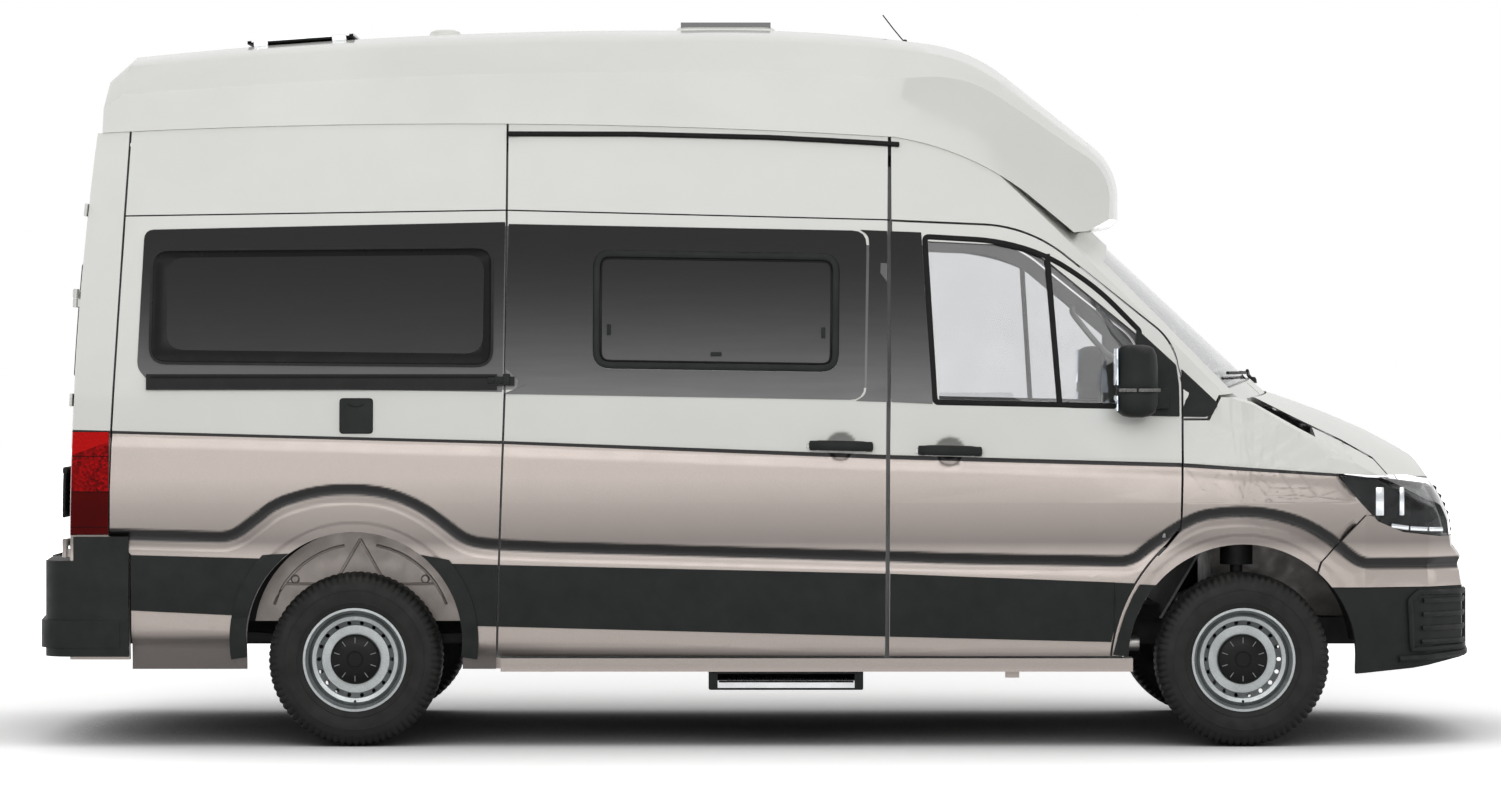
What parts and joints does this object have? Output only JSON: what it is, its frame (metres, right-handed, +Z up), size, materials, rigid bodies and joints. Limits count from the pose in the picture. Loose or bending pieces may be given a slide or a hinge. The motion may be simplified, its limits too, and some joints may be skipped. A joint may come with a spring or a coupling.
{
  "type": "camper van",
  "caption": "High-roof camper van with a hollow cab and living space, steered front wheels, hinged cab, rear doors and bonnet, and a sliding entry step",
  "frame": {"origin": "on the ground at the middle of the overall length and width", "axes": "+X forward to the nose, +Y to the vehicle's left, +Z up"},
  "size_m": [5.9858, 2.42, 3.0769],
  "materials": {
    "paint_light": "gloss, warm off-white",
    "paint_metallic": "metallic beige",
    "roof_shell": "gloss moulded shell",
    "glazing": "tinted",
    "lamp_lens": "clear lens over dark housing",
    "red_lens": "red ribbed lens",
    "dark_plastic": "fine grain",
    "tyre_rubber": "matte",
    "wheel_steel": "silver satin",
    "frame_steel": "satin black",
    "cast_parts": "rough",
    "seat_cloth": "woven",
    "cabin_plastic": "soft grain",
    "bare_aluminium": "ribbed",
    "panel_glass": "dark laminate"
  },
  "bodies": {
    "coachwork": {"body_frame": "frame_steel", "cab_frame": "paint_light", "cab_seats": "seat_cloth", "chassis_rails": "frame_steel", "dashboard": "cabin_plastic", "engine_block": "cast_parts", "exhaust": "frame_steel", "floor_pan": "frame_steel", "front_bumper": "paint_metallic", "front_panel": "frame_steel", "front_suspension": "frame_steel", "front_wings": "paint_light", "fuel_tank": "dark_plastic", "grille": "dark_plastic", "headlights": "lamp_lens", "high_roof": "roof_shell", "left_side_panel": "paint_light", "lower_bumper": "dark_plastic", "rear_axle": "frame_steel", "rear_bumper": "dark_plastic", "rear_springs": "frame_steel", "right_side_panel": "paint_light", "roof_fittings": "dark_plastic", "side_cladding": "dark_plastic", "side_windows": "glazing", "sills": "paint_metallic", "skylight": "dark_plastic", "slide_rail": "dark_plastic", "sliding_door": "paint_light", "solar_panel": "panel_glass", "steering_wheel": "cabin_plastic", "step_housing": "dark_plastic", "tail_frame": "paint_light", "tail_lights": "red_lens", "wheel_housings": "dark_plastic", "windscreen": "glazing"},
    "left_front_door": {"left_front_door": "paint_light", "left_door_glass": "glazing", "left_door_cladding": "dark_plastic", "left_mirror": "dark_plastic"},
    "right_front_door": {"right_front_door": "paint_light", "right_door_glass": "glazing", "right_door_cladding": "dark_plastic", "right_mirror": "dark_plastic"},
    "left_rear_door": {"left_rear_door": "paint_light", "left_rear_glass": "glazing"},
    "right_rear_door": {"right_rear_door": "paint_light", "right_rear_glass": "glazing"},
    "bonnet": {"bonnet": "paint_light"},
    "entry_step": {"entry_step": "bare_aluminium"},
    "left_knuckle": {"left_knuckle": "cast_parts"},
    "right_knuckle": {"right_knuckle": "cast_parts"},
    "front_left_wheel": {"front_left_tyre": "tyre_rubber", "front_left_rim": "wheel_steel"},
    "front_right_wheel": {"front_right_tyre": "tyre_rubber", "front_right_rim": "wheel_steel"},
    "rear_left_wheel": {"rear_left_tyre": "tyre_rubber", "rear_left_rim": "wheel_steel"},
    "rear_right_wheel": {"rear_right_tyre": "tyre_rubber", "rear_right_rim": "wheel_steel"}
  },
  "joints": [
    {"name": "left_steer", "type": "hinge", "parent": "coachwork", "child": "left_knuckle", "pos_m": [1.994, 0.81, 0.356], "axis": [0, 0, 1], "range_deg": [-35, 35]},
    {"name": "right_steer", "type": "hinge", "parent": "coachwork", "child": "right_knuckle", "pos_m": [1.994, -0.81, 0.356], "axis": [0, 0, 1], "range_deg": [-35, 35]},
    {"name": "front_left_spin", "type": "hinge", "parent": "left_knuckle", "child": "front_left_wheel", "pos_m": [1.994, 0.871, 0.356], "axis": [0, 1, 0], "continuous": true},
    {"name": "rear_left_spin", "type": "hinge", "parent": "coachwork", "child": "rear_left_wheel", "pos_m": [-1.646, 0.871, 0.356], "axis": [0, 1, 0], "continuous": true},
    {"name": "front_right_spin", "type": "hinge", "parent": "right_knuckle", "child": "front_right_wheel", "pos_m": [1.994, -0.871, 0.356], "axis": [0, 1, 0], "continuous": true},
    {"name": "rear_right_spin", "type": "hinge", "parent": "coachwork", "child": "rear_right_wheel", "pos_m": [-1.646, -0.871, 0.356], "axis": [0, 1, 0], "continuous": true},
    {"name": "left_front_door_swing", "type": "hinge", "parent": "coachwork", "child": "left_front_door", "pos_m": [1.665, 0.9995, 0.9], "axis": [0, 0.0981, -0.9952], "range_deg": [0, 70]},
    {"name": "left_rear_door_swing", "type": "hinge", "parent": "coachwork", "child": "left_rear_door", "pos_m": [-2.834, 0.945, 0.813], "axis": [-0.042, 0, -0.9991], "range_deg": [0, 180]},
    {"name": "right_front_door_swing", "type": "hinge", "parent": "coachwork", "child": "right_front_door", "pos_m": [1.665, -0.9995, 0.9], "axis": [0, 0.0981, 0.9952], "range_deg": [0, 70]},
    {"name": "right_rear_door_swing", "type": "hinge", "parent": "coachwork", "child": "right_rear_door", "pos_m": [-2.834, -0.945, 0.813], "axis": [0.042, 0, 0.9991], "range_deg": [0, 180]},
    {"name": "bonnet_lift", "type": "hinge", "parent": "coachwork", "child": "bonnet", "pos_m": [2.045, 0, 1.455], "axis": [0, -1, 0], "range_deg": [0, 50]},
    {"name": "step_slide", "type": "slide", "parent": "coachwork", "child": "entry_step", "axis": [0, -1, 0], "range_m": [0, 0.25]}
  ]
}
